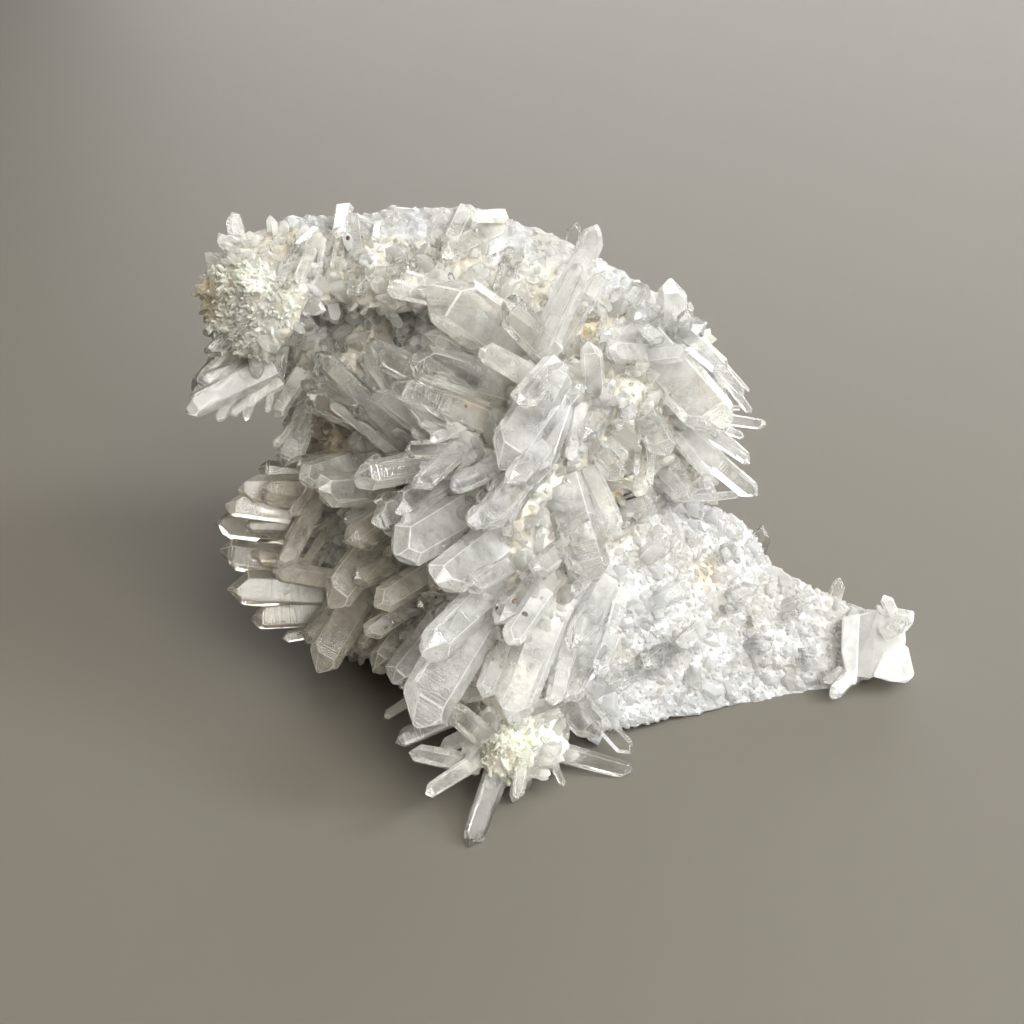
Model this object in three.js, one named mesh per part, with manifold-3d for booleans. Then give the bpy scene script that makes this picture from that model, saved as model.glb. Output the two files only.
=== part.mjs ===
// A cluster of quartz: clear hexagonal points grown in fans out of a milky quartz matrix.
// It formed as one piece, so every point and every block of the matrix is joined in one solid.
// Units are millimetres, +Z is up, and the specimen stands on z = 0 with its box centred on the origin.

import * as THREE from "three";
import { ConvexGeometry } from "three/addons/geometries/ConvexGeometry.js";
import { mergeVertices } from "three/addons/utils/BufferGeometryUtils.js";
import Module from "manifold-3d";

const wasm = await Module();
wasm.setup();

// The viewpoint that the specimen is described from: an eye in front of it that looks down.
// A place is [column, row, near]: a pixel of a square picture taken there, and how many
// millimetres nearer to the eye than the middle of the specimen the place lies.
const EYE_DISTANCE = 220;
const EYE_TILT = THREE.MathUtils.degToRad(28);
const MIDDLE = new THREE.Vector3(-7, -8.4, 29.2);
const PICTURE_CENTRE = 512;
const PIXELS_PER_SLOPE = 1422;

// Quartz's own angles: six prism faces, and tip faces that lean 38.2 degrees off them.
const SIDES = 6;
const TIP_LEAN = THREE.MathUtils.degToRad(38.2);
const PRISM_TAPER = 0.025;
const FLATNESS = 0.62;
const FACE_VARIATION = 0.16;
const TIP_VARIATION = 0.12;
const SLENDER = 5; // a point narrower than this ends in three tip faces and not in six

// The matrix: broken blocks of milky quartz, each given by the places of its corners.
const BLOCKS = {
  top_slab: [
    [236, 232, -10], [300, 214, -14], [400, 204, -17], [480, 205, -19], [560, 231, -18],
    [640, 278, -17], [688, 308, -16], [240, 296, -4], [330, 268, -4], [440, 288, -5],
    [560, 322, -4], [650, 345, -6], [276, 276, -32], [480, 256, -37], [656, 350, -33],
  ],
  arm: [
    [196, 292, -2], [204, 262, -3], [234, 230, -5], [300, 222, -4], [322, 268, 2], [300, 330, 2],
    [262, 368, 1], [226, 352, 0], [205, 330, -1], [250, 288, 6], [285, 300, 6],
    [230, 300, -16], [300, 300, -16], [262, 350, -12],
  ],
  recess: [
    [288, 276, -14], [280, 330, -12], [300, 420, -14], [330, 470, -12], [446, 276, -12],
    [440, 320, -6], [460, 440, -2], [410, 480, -4], [300, 340, -30], [330, 480, -32],
    [450, 400, -36],
  ],
  shoulder: [
    [640, 300, -12], [690, 318, -14], [716, 352, -15], [728, 400, -14], [722, 460, -13],
    [704, 508, -12], [580, 340, -1], [640, 380, -1], [650, 440, -1], [600, 480, 2], [560, 430, 3],
    [640, 510, -3], [680, 350, -32], [690, 460, -32],
  ],
  ridge: [
    [575, 350, 1], [530, 420, 5], [490, 480, 6], [470, 560, 8], [456, 640, 10], [480, 700, 14],
    [520, 740, 15], [430, 430, -3], [400, 520, -4], [388, 600, -4], [424, 680, 2], [620, 500, 0],
    [612, 600, 2], [600, 680, 4], [566, 738, 9], [450, 450, -32], [600, 450, -32], [520, 660, -24],
  ],
  left_clump: [
    [304, 480, -16], [294, 520, -17], [296, 580, -16], [324, 640, -12], [360, 660, -6],
    [400, 664, -3], [380, 500, -5], [402, 560, -2], [310, 520, -30], [360, 630, -26],
  ],
  wing_root: [
    [620, 505, -2], [700, 498, -9], [738, 512, -13], [778, 562, -14], [580, 742, 6], [615, 732, 2],
    [690, 716, -3], [770, 704, -6], [620, 600, 3], [680, 620, -2], [700, 560, -30], [640, 660, -26],
  ],
  wing_end: [
    [730, 540, -14], [788, 572, -14], [845, 599, -14], [884, 615, -13], [720, 711, -5],
    [835, 696, -9], [880, 686, -10], [760, 640, -6], [720, 600, -28], [840, 640, -23],
  ],
  foot: [
    [458, 738, 16], [470, 715, 14], [540, 715, 12], [576, 745, 11], [560, 776, 13],
    [520, 792, 17], [482, 775, 19], [502, 742, 22], [500, 690, 0], [570, 700, 0],
  ],
  back_upper: [
    [296, 330, -32], [420, 268, -38], [560, 280, -39], [676, 360, -35], [700, 470, -30],
    [480, 340, -47], [590, 420, -45], [360, 420, -40], [480, 450, -12], [480, 540, -44],
  ],
  back_lower: [
    [322, 470, -32], [400, 440, -44], [600, 470, -46], [690, 500, -34], [640, 590, -42],
    [400, 604, -40], [344, 616, -30], [660, 640, -24], [500, 560, -4],
  ],
  buttress: [
    [376, 644, -28], [392, 598, -44], [646, 598, -44], [690, 650, -26], [560, 690, -14],
    [430, 550, -42], [590, 540, -44], [500, 560, -10],
  ],
};

// Crystals that stand out one by one, area by area: root place, tip place, width across.
const SHOULDER = [
  [[540, 352, -3], [600, 222, 8], 4.3],
  [[672, 342, -9], [672, 276, -4], 4.5],
  [[644, 356, -8], [708, 320, -4], 4.8],
  [[676, 318, -14], [745, 397, -7], 2.2],
  [[706, 352, -13], [751, 414, -5], 1.6],
  [[694, 414, -12], [766, 425, -5], 2.0],
  [[688, 408, -10], [751, 463, -2], 2.2],
  [[680, 432, -8], [759, 498, -1], 3.6],
  [[648, 344, -8], [728, 434, 2], 8.0],
  [[672, 322, -14], [602, 336, 2], 3.0],
  [[652, 354, -8], [606, 350, 4], 4.0],
  [[638, 358, -7], [690, 352, 2], 3.0],
  [[594, 410, -3], [590, 342, 6], 3.8],
  [[604, 314, -9], [578, 292, 1], 1.8],
  [[624, 306, -12], [642, 282, -4], 3.0],
  [[634, 396, -6], [668, 456, 5], 4.6],
  [[614, 390, -5], [584, 442, 8], 4.2],
  [[656, 466, -7], [692, 502, 2], 3.6],
  [[612, 514, -6], [652, 500, 4], 2.4],
];
const RIDGE = [
  [[530, 430, 2], [566, 360, 13], 4.6],
  [[556, 384, 3], [497, 470, 12], 7.0],
  [[562, 398, 3], [535, 484, 11], 5.0],
  [[534, 460, 5], [483, 533, 15], 5.6],
  [[580, 430, -2], [622, 482, 8], 3.4],
  [[562, 478, 2], [594, 583, 12], 7.0],
  [[552, 566, 4], [498, 627, 17], 6.0],
  [[550, 610, 7], [505, 727, 21], 6.6],
  [[484, 606, 7], [412, 727, 25], 8.0],
  [[502, 582, 6], [424, 655, 23], 6.0],
  [[506, 533, 4], [434, 588, 20], 6.6],
  [[464, 510, 1], [391, 553, 17], 7.4],
  [[458, 479, -1], [403, 524, 13], 2.2],
  [[468, 438, 2], [415, 490, 13], 3.6],
  [[508, 462, 4], [449, 489, 15], 3.4],
  [[446, 478, 1], [395, 512, 12], 4.5],
  [[606, 584, 2], [573, 652, 13], 4.8],
  [[596, 634, 2], [562, 704, 14], 4.2],
];
const LEFT_FAN = [
  [[464, 302, -4], [384, 287, 7], 3.4],
  [[528, 356, -6], [425, 282, 6], 9.0],
  [[412, 447, -5], [316, 352, 8], 4.0],
  [[366, 421, -9], [303, 396, 5], 4.3],
  [[520, 390, -2], [404, 356, 10], 6.5],
  [[484, 422, 2], [392, 382, 9], 4.5],
  [[448, 390, -4], [367, 346, 5], 4.4],
  [[461, 460, 1], [408, 399, 8], 2.8],
  [[446, 444, -1], [373, 390, 7], 3.4],
  [[446, 460, 1], [353, 480, 11], 5.0],
  [[386, 488, -7], [315, 492, 8], 5.6],
  [[352, 462, -11], [298, 478, 2], 4.6],
  [[434, 500, -1], [372, 521, 9], 5.0],
  [[400, 296, -10], [404, 348, -3], 4.0],
  [[336, 326, -14], [318, 378, -3], 3.0],
];
const LEFT_CLUMP = [
  [[316, 490, -15], [234, 490, -10], 4.3],
  [[316, 514, -14], [223, 504, -10], 2.9],
  [[320, 534, -17], [212, 524, -16], 4.2],
  [[316, 568, -15], [217, 552, -12], 4.2],
  [[332, 590, -12], [224, 586, -7], 4.8],
  [[332, 612, -12], [250, 618, -9], 3.2],
  [[324, 484, -13], [281, 571, -1], 3.4],
  [[332, 524, -15], [291, 583, -3], 1.7],
  [[364, 590, -7], [315, 673, 3], 5.6],
  [[418, 610, -4], [374, 672, 5], 4.6],
  [[430, 594, -2], [364, 637, 8], 3.6],
  [[440, 564, -2], [372, 606, 10], 4.6],
  [[394, 522, -6], [328, 606, 5], 6.0],
  [[410, 514, -3], [345, 545, 7], 5.0],
  [[408, 556, -4], [350, 581, 8], 4.5],
  [[448, 676, 1], [384, 717, 11], 1.8],
  [[458, 660, 4], [401, 691, 15], 4.0],
];
const ARM = [
  [[305, 234, -4], [279, 284, 6], 1.9],
  [[317, 236, -4], [297, 283, 7], 1.9],
  [[331, 234, -9], [309, 279, 4], 1.9],
  [[350, 224, -17], [360, 296, 1], 4.4],
  [[386, 228, -17], [406, 273, -3], 2.9],
  [[272, 368, -4], [184, 411, 3], 4.2],
  [[250, 335, -6], [194, 398, -1], 5.0],
  [[256, 356, -7], [217, 423, 2], 2.2],
  [[268, 352, -7], [245, 421, 1], 1.6],
  [[324, 394, -16], [274, 446, -5], 1.8],
  [[316, 380, -13], [285, 470, -9], 5.0],
  [[465, 212, -20], [447, 247, -7], 3.8],
  [[500, 228, -18], [442, 256, -6], 4.0],
  [[512, 248, -16], [494, 291, -2], 1.7],
];
const FOOT = [
  [[478, 765, 16], [407, 751, 22], 2.8],
  [[486, 755, 16], [425, 794, 26], 2.3],
  [[500, 764, 16], [470, 849, 25], 3.6],
  [[524, 748, 17], [518, 800, 23], 1.9],
  [[562, 678, 4], [632, 756, 11], 3.2],
  [[546, 748, 10], [633, 772, 11], 2.9],
  [[507, 756, 15], [451, 707, 24], 3.6],
  [[474, 706, 9], [393, 743, 16], 3.0],
  [[552, 688, 5], [600, 738, 13], 4.4],
];
const WING = [
  [[830, 634, -14], [906, 626, -11], 4.2],
  [[830, 650, -13], [912, 648, -9], 4.6],
  [[830, 666, -13], [913, 675, -9], 3.8],
  [[893, 633, -12], [884, 597, -9], 1.5],
  [[854, 672, -12], [832, 698, -8], 2.0],
  [[690, 634, -6], [642, 669, 4], 4.0],
  [[650, 658, -2], [604, 681, 7], 2.4],
  [[700, 566, -14], [737, 546, -6], 3.0],
  [[716, 606, -10], [758, 584, -4], 3.0],
  [[736, 652, -9], [776, 640, -3], 3.0],
  [[676, 648, -6], [700, 692, 1], 3.0],
  [[776, 612, -12], [816, 594, -8], 2.8],
  [[786, 662, -10], [826, 664, -5], 2.6],
  [[640, 566, -4], [668, 534, 4], 3.0],
  [[648, 606, -3], [690, 584, 4], 3.2],
];
const SINGLE_CRYSTALS = [SHOULDER, RIDGE, LEFT_FAN, LEFT_CLUMP, ARM, FOOT, WING].flat();

// Sprays on the sides that face away: root place, place of the middle tip, width, how many points.
const SPRAYS = [
  [[560, 310, -30], [576, 258, -42], 4.4, 3],
  [[420, 300, -30], [402, 246, -42], 4.4, 3],
  [[640, 390, -30], [708, 360, -42], 4.2, 3],
  [[640, 480, -30], [716, 486, -38], 4.0, 3],
  [[560, 400, -36], [580, 366, -54], 4.6, 4],
  [[430, 390, -34], [404, 350, -52], 4.6, 4],
  [[340, 400, -26], [286, 392, -36], 4.0, 3],
  [[500, 490, -36], [498, 468, -56], 4.6, 4],
  [[610, 550, -36], [656, 530, -50], 4.2, 3],
  [[390, 550, -32], [338, 530, -46], 4.2, 3],
  [[740, 600, -18], [766, 566, -30], 3.8, 3],
  [[820, 640, -16], [842, 612, -26], 3.4, 3],
  [[250, 290, -8], [222, 262, -19], 3.6, 3],
];
const SPRAY_FAN = THREE.MathUtils.degToRad(62);
const GOLDEN_TURN = Math.PI * (3 - Math.sqrt(5));
const GOLDEN_SHARE = (Math.sqrt(5) - 1) / 2;

const across = new THREE.Vector3(1, 0, 0);
const up = new THREE.Vector3(0, Math.sin(EYE_TILT), Math.cos(EYE_TILT));
const towardsEye = new THREE.Vector3(0, -Math.cos(EYE_TILT), Math.sin(EYE_TILT));

// The point of the model that a place describes.
function pointAt([column, row, near]) {
  const scale = (EYE_DISTANCE - near) / PIXELS_PER_SLOPE;
  return MIDDLE.clone()
    .addScaledVector(across, (column - PICTURE_CENTRE) * scale)
    .addScaledVector(up, (PICTURE_CENTRE - row) * scale)
    .addScaledVector(towardsEye, near);
}

// A share from 0 to 1 that is the same on each run for the same number.
function share(number) {
  return (number * GOLDEN_SHARE) % 1;
}

// The corners of the solid that lies behind every plane, each given by its normal and distance.
function cornersInside(planes) {
  const corners = [];
  for (let i = 0; i < planes.length; i++)
    for (let j = i + 1; j < planes.length; j++)
      for (let k = j + 1; k < planes.length; k++) {
        const [a, b, c] = [planes[i], planes[j], planes[k]];
        const bc = new THREE.Vector3().crossVectors(b.normal, c.normal);
        const ca = new THREE.Vector3().crossVectors(c.normal, a.normal);
        const ab = new THREE.Vector3().crossVectors(a.normal, b.normal);
        const volume = a.normal.dot(bc);
        if (Math.abs(volume) < 1e-6) continue;
        const corner = bc
          .multiplyScalar(a.distance)
          .addScaledVector(ca, b.distance)
          .addScaledVector(ab, c.distance)
          .divideScalar(volume);
        if (planes.every((p) => p.normal.dot(corner) < p.distance + 1e-5)) corners.push(corner);
      }
  return corners;
}

// One quartz point along +Z from its root at the origin, broad across Y and thin across X.
function quartzPoint(length, width, seed) {
  const planes = [{ normal: new THREE.Vector3(0, 0, -1), distance: 0 }];
  for (let side = 0; side < SIDES; side++) {
    const turn = (side * 2 * Math.PI) / SIDES;
    const out = new THREE.Vector3(Math.cos(turn), Math.sin(turn), 0);
    const vary = 1 + FACE_VARIATION * (2 * share(seed * SIDES + side + 1) - 1);
    const broad = side % 3 === 0 ? FLATNESS : Math.cos(Math.PI / SIDES);
    planes.push({
      normal: out.clone().setZ(PRISM_TAPER).normalize(),
      distance: (width / 2) * broad * vary + (PRISM_TAPER * length) / 2,
    });
    if (width < SLENDER && side % 2) continue;
    const setBack = TIP_VARIATION * width * (2 * share(seed * SIDES + 3 * side + 2) - 1);
    planes.push({
      normal: out.clone().multiplyScalar(Math.cos(TIP_LEAN)).setZ(Math.sin(TIP_LEAN)),
      distance: Math.sin(TIP_LEAN) * length - setBack,
    });
  }
  return new ConvexGeometry(cornersInside(planes));
}

// A point grown from root to tip, its broad face turned to the side that it is seen from.
function grownPoint(root, tip, width, seed, seenFrom) {
  const axis = tip.clone().sub(root);
  const length = axis.length();
  axis.normalize();
  const face = seenFrom.clone().addScaledVector(axis, -seenFrom.dot(axis)).normalize();
  const side = new THREE.Vector3().crossVectors(axis, face);
  const place = new THREE.Matrix4().makeBasis(face, side, axis).setPosition(root);
  return quartzPoint(length, width, seed).applyMatrix4(place);
}

// The points of a spray: they fan out from one root, evenly round its middle line.
function sprayPoints([rootPlace, tipPlace, width, count], first) {
  const root = pointAt(rootPlace);
  const middle = pointAt(tipPlace).sub(root);
  const length = middle.length();
  middle.normalize();
  const aside = new THREE.Vector3().crossVectors(middle, across).normalize();
  return Array.from({ length: count }, (_, i) => {
    const lean = SPRAY_FAN * Math.sqrt(i / count);
    const axis = middle.clone().applyAxisAngle(aside, lean).applyAxisAngle(middle, i * GOLDEN_TURN);
    const tip = root.clone().addScaledVector(axis, length * (1 - 0.3 * share(i)));
    return grownPoint(root, tip, width * (1 - 0.3 * share(2 * i)), first + i, aside);
  });
}

// A closed geometry as a solid that can be joined and cut.
function solid(geometry) {
  const bare = geometry.clone();
  bare.deleteAttribute("normal");
  bare.deleteAttribute("uv");
  const merged = mergeVertices(bare, 1e-4);
  return new wasm.Manifold(
    new wasm.Mesh({
      numProp: 3,
      vertProperties: merged.getAttribute("position").array,
      triVerts: new Uint32Array(merged.index.array),
    }),
  );
}

function geometryOf(manifold) {
  const { vertProperties, triVerts } = manifold.getMesh();
  const geometry = new THREE.BufferGeometry();
  geometry.setAttribute("position", new THREE.BufferAttribute(vertProperties, 3));
  geometry.setIndex(new THREE.BufferAttribute(triVerts, 1));
  geometry.computeVertexNormals();
  return geometry;
}

const matrix = Object.values(BLOCKS).map((corners) => new ConvexGeometry(corners.map(pointAt)));
const singles = SINGLE_CRYSTALS.map(([root, tip, width], index) =>
  grownPoint(pointAt(root), pointAt(tip), width, index, towardsEye),
);
const sprays = SPRAYS.flatMap((spray, index) => sprayPoints(spray, 10 * index));
const belowTable = new THREE.BoxGeometry(400, 400, 100).translate(0, 0, -50);
const cluster = [...matrix, ...singles, ...sprays]
  .map(solid)
  .reduce((whole, piece) => whole.add(piece))
  .subtract(solid(belowTable));

const quartz = new THREE.Mesh(
  geometryOf(cluster),
  new THREE.MeshStandardMaterial({ color: 0xdcdcd6, roughness: 0.15, metalness: 0 }),
);
quartz.name = "quartz_cluster";

const specimen = new THREE.Group();
specimen.add(quartz);
export default specimen;
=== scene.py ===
# A cluster of quartz on a table: clear hexagonal points stand in fans on a milky, drusy matrix.
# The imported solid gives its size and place. The pieces below dress it, in metres, in the same frame.
import itertools
import math

import bmesh
import bpy
import numpy as np
from mathutils import Matrix, Vector
from mathutils.bvhtree import BVHTree


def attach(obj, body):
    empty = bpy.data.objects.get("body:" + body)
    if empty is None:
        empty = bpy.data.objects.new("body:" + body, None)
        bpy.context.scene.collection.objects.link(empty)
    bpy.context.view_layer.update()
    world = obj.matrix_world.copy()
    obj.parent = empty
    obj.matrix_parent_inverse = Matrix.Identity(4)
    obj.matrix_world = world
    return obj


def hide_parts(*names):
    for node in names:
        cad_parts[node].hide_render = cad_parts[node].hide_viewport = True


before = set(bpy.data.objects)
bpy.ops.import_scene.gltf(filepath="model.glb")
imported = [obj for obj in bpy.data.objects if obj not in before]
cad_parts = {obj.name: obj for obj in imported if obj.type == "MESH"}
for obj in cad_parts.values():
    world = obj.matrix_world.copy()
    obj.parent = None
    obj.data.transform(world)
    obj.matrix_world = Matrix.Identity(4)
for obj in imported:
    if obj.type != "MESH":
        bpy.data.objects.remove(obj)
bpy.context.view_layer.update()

# Viewpoint
# The specimen is seen from in front and above, and the camera stands there. The same view gives the
# places of the pieces: (column, row, near) is a pixel of a square picture taken by this camera, and
# how many millimetres nearer to it than the middle of the specimen the place lies.
MM = 0.001
EYE_DISTANCE = 220.0
EYE_TILT = math.radians(28)
MIDDLE = np.array((-7.0, -8.4, 29.2))
PICTURE_SIDE = 1024
LENS = 50.0
SENSOR = 36.0

ACROSS = np.array((1.0, 0.0, 0.0))
UP = np.array((0.0, math.sin(EYE_TILT), math.cos(EYE_TILT)))
TOWARDS_EYE = np.array((0.0, -math.cos(EYE_TILT), math.sin(EYE_TILT)))


def point_at(place):
    """The point of the specimen, in millimetres, that a place describes."""
    column, row, near = place
    scale = (EYE_DISTANCE - near) * SENSOR / (LENS * PICTURE_SIDE)
    sideways = (column - PICTURE_SIDE / 2) * scale
    upwards = (PICTURE_SIDE / 2 - row) * scale
    return MIDDLE + sideways * ACROSS + upwards * UP + near * TOWARDS_EYE


camera = bpy.data.objects.new("camera", bpy.data.cameras.new("camera"))
camera.data.lens = LENS
camera.data.sensor_width = SENSOR
camera.data.clip_start = 0.01
view_axes = np.array((ACROSS, UP, TOWARDS_EYE)).T
camera.matrix_world = Matrix.LocRotScale(
    Vector((MIDDLE + EYE_DISTANCE * TOWARDS_EYE) * MM), Matrix(view_axes.tolist()), None
)
bpy.context.scene.collection.objects.link(camera)
bpy.context.scene.camera = camera

# Matrix
# The milky quartz that the points grow from: broken blocks that healed into one lumpy mass.
# It is rough all over and flat where it rests.
BLOCKS = {
    "top_slab": (
        (236, 232, -10), (300, 214, -14), (400, 204, -17), (480, 205, -19), (560, 231, -18),
        (640, 278, -17), (688, 308, -16), (240, 296, -4), (330, 268, -4), (440, 288, -5),
        (560, 322, -4), (650, 345, -6), (276, 276, -32), (480, 256, -37), (656, 350, -33),
    ),
    "arm": (
        (196, 292, -2), (204, 262, -3), (234, 230, -5), (300, 222, -4), (322, 268, 2), (300, 330, 2),
        (262, 368, 1), (226, 352, 0), (205, 330, -1), (250, 288, 6), (285, 300, 6),
        (230, 300, -16), (300, 300, -16), (262, 350, -12),
    ),
    "recess": (
        (288, 276, -14), (280, 330, -12), (300, 420, -14), (330, 470, -12), (446, 276, -12),
        (440, 320, -6), (460, 440, -2), (410, 480, -4), (300, 340, -30), (330, 480, -32),
        (450, 400, -36),
    ),
    "shoulder": (
        (640, 300, -12), (690, 318, -14), (716, 352, -15), (728, 400, -14), (722, 460, -13),
        (704, 508, -12), (580, 340, -1), (640, 380, -1), (650, 440, -1), (600, 480, 2), (560, 430, 3),
        (640, 510, -3), (680, 350, -32), (690, 460, -32),
    ),
    "saddle": (
        (520, 330, -6), (560, 302, -8), (600, 298, -10), (632, 330, -6), (594, 362, -2), (540, 372, -1),
        (560, 330, -22), (600, 330, -22),
    ),
    "ridge": (
        (575, 350, 1), (530, 420, 5), (490, 480, 6), (470, 560, 8), (456, 640, 10), (480, 700, 14),
        (520, 740, 15), (430, 430, -3), (400, 520, -4), (388, 600, -4), (424, 680, 2), (620, 500, 0),
        (612, 600, 2), (600, 680, 4), (566, 738, 9), (450, 450, -32), (600, 450, -32), (520, 660, -24),
    ),
    "left_clump": (
        (304, 480, -16), (294, 520, -17), (296, 580, -16), (324, 640, -12), (360, 660, -6),
        (400, 664, -3), (380, 500, -5), (402, 560, -2), (310, 520, -30), (360, 630, -26),
    ),
    "wing_root": (
        (620, 505, -2), (700, 498, -9), (738, 512, -13), (778, 562, -14), (580, 742, 6), (615, 732, 2),
        (690, 716, -3), (770, 704, -6), (620, 600, 3), (680, 620, -2), (700, 560, -30), (640, 660, -26),
    ),
    "wing_end": (
        (730, 540, -14), (788, 572, -14), (845, 599, -14), (884, 615, -13), (720, 711, -5),
        (835, 696, -9), (880, 686, -10), (760, 640, -6), (720, 600, -28), (840, 640, -23),
    ),
    "foot": (
        (458, 738, 16), (470, 715, 14), (540, 715, 12), (576, 745, 11), (560, 776, 13),
        (520, 792, 17), (482, 775, 19), (502, 742, 22), (500, 690, 0), (570, 700, 0),
    ),
    "back_upper": (
        (296, 330, -32), (420, 268, -38), (560, 280, -39), (676, 360, -35), (700, 470, -30),
        (480, 340, -47), (590, 420, -45), (360, 420, -40), (480, 450, -12), (480, 540, -44),
    ),
    "back_lower": (
        (322, 470, -32), (400, 440, -44), (600, 470, -46), (690, 500, -34), (640, 590, -42),
        (400, 604, -40), (344, 616, -30), (660, 640, -24), (500, 560, -4),
    ),
    "buttress": (
        (376, 644, -28), (392, 598, -44), (646, 598, -44), (690, 650, -26), (560, 690, -14),
        (430, 550, -42), (590, 540, -44), (500, 560, -10),
    ),
}
MATRIX_VOXEL = 0.7 * MM
LUMP_HEIGHT = 1.2 * MM
LUMPS_PER_METRE = 150.0
GRAIN_HEIGHT = 0.6 * MM
GRAINS_PER_METRE = 520.0
# The weathered colours are greyer: partly a weathered skin, partly painted shade that tones down the
# strong light on the wing and the broken top.
MILK_WHITE = (0.44, 0.435, 0.415, 1.0)
MILK_SHADE = (0.38, 0.355, 0.295, 1.0)
WEATHERED_SHADED_WHITE = (0.30, 0.305, 0.305, 1.0)
WEATHERED_SHADED_GREY = (0.26, 0.252, 0.23, 1.0)
IRON_STAIN = (0.38, 0.30, 0.18, 1.0)
# Iron-stained gaps between the points: place of each one, and its radius in millimetres.
STAINS = (
    ((515, 378, 3), 3.2), ((498, 402, 3), 2.6), ((612, 492, 0), 2.4), ((700, 577, -8), 3.0),
    ((524, 612, 12), 2.2), ((578, 320, -5), 3.4), ((330, 425, -13), 6.0), ((196, 300, -1), 4.0),
)


STAIN_REACH = 1.0
TABLE_CLEARANCE = 0.5
# Regions of the matrix: places and radii in millimetres.
WING = (
    ((620, 620, 4), 9), ((660, 620, 0), 13), ((700, 600, -8), 15), ((760, 620, -10), 16),
    ((820, 650, -12), 12), ((640, 690, 0), 11), ((700, 690, -4), 12), ((740, 560, -13), 12),
    ((600, 720, 4), 7), ((680, 540, -6), 9),
)
ARM = (((232, 296, 4), 7), ((206, 298, 0), 6), ((262, 306, 4), 5), ((230, 326, 2), 5))
STAR = (((500, 762, 21), 4.5), ((512, 752, 18), 3.5))
BROKEN_TOP = (
    ((250, 232, -10), 6), ((300, 220, -14), 8), ((360, 212, -16), 9), ((420, 208, -17), 9),
    ((480, 212, -19), 9), ((540, 232, -19), 9), ((600, 262, -18), 9), ((650, 292, -17), 8),
)


class Wire:
    """A socket of a node tree. Arithmetic on it adds Math nodes, and Wire.node adds any other node."""

    def __init__(self, tree, socket):
        self.tree = tree
        self.socket = socket

    @classmethod
    def node(cls, tree, kind, settings=None, sockets=None, output=0):
        made = tree.nodes.new(kind)
        for name, value in (settings or {}).items():
            setattr(made, name, value)
        for name, value in (sockets or {}).items():
            if isinstance(value, Wire):
                tree.links.new(value.socket, made.inputs[name])
            else:
                made.inputs[name].default_value = value
        return cls(tree, made.outputs[output]) if made.outputs else None

    def other(self, output):
        """Another output of the node that this socket belongs to."""
        return Wire(self.tree, self.socket.node.outputs[output])

    def maths(self, operation, left, right=0.0):
        return Wire.node(self.tree, "ShaderNodeMath", {"operation": operation}, {0: left, 1: right})

    def __add__(self, other):
        return self.maths("ADD", self, other)

    def __sub__(self, other):
        return self.maths("SUBTRACT", self, other)

    def __rsub__(self, other):
        return self.maths("SUBTRACT", other, self)

    def __mul__(self, other):
        return self.maths("MULTIPLY", self, other)

    __radd__ = __add__
    __rmul__ = __mul__

    def clamped(self):
        return Wire.node(self.tree, "ShaderNodeClamp", None, {"Value": self})

    def below(self, low, high):
        """1 where the value is under low, falling smoothly to 0 at high."""
        settings = {"interpolation_type": "SMOOTHSTEP"}
        steps = {"Value": self, "From Min": low, "From Max": high, "To Min": 1.0, "To Max": 0.0}
        return Wire.node(self.tree, "ShaderNodeMapRange", settings, steps)


def blend(tree, share, first, second):
    """A colour between two colours."""
    sockets = {"Factor": share, 6: first, 7: second}
    return Wire.node(tree, "ShaderNodeMix", {"data_type": "RGBA"}, sockets, 2)


def noise(tree, where, scale, detail=2.0, roughness=0.5):
    sockets = {"Vector": where, "Scale": scale, "Detail": detail, "Roughness": roughness}
    return Wire.node(tree, "ShaderNodeTexNoise", None, sockets)


def tree_with(name, inputs):
    """A Geometry Nodes tree with a geometry in and out, and the named inputs."""
    tree = bpy.data.node_groups.new(name, "GeometryNodeTree")
    geometry = "NodeSocketGeometry"
    tree.interface.new_socket("Geometry", in_out="OUTPUT", socket_type=geometry)
    tree.interface.new_socket("Geometry", in_out="INPUT", socket_type=geometry)
    for label, kind in inputs.items():
        tree.interface.new_socket(label, in_out="INPUT", socket_type=kind)
    return tree


def given(tree, label):
    return Wire.node(tree, "NodeGroupInput", output=label)


def made_by(tree, mesh, inputs):
    """What a Geometry Nodes tree makes of a mesh, as a plain mesh."""
    carrier = bpy.data.objects.new("carrier", mesh)
    bpy.context.scene.collection.objects.link(carrier)
    growth = carrier.modifiers.new("growth", "NODES")
    growth.node_group = tree
    for socket in tree.interface.items_tree:
        if socket.in_out == "INPUT" and socket.name in inputs:
            growth[socket.identifier] = inputs[socket.name]
    evaluated = carrier.evaluated_get(bpy.context.evaluated_depsgraph_get())
    made = bpy.data.meshes.new_from_object(evaluated)
    bpy.data.objects.remove(carrier)
    return made


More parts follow.
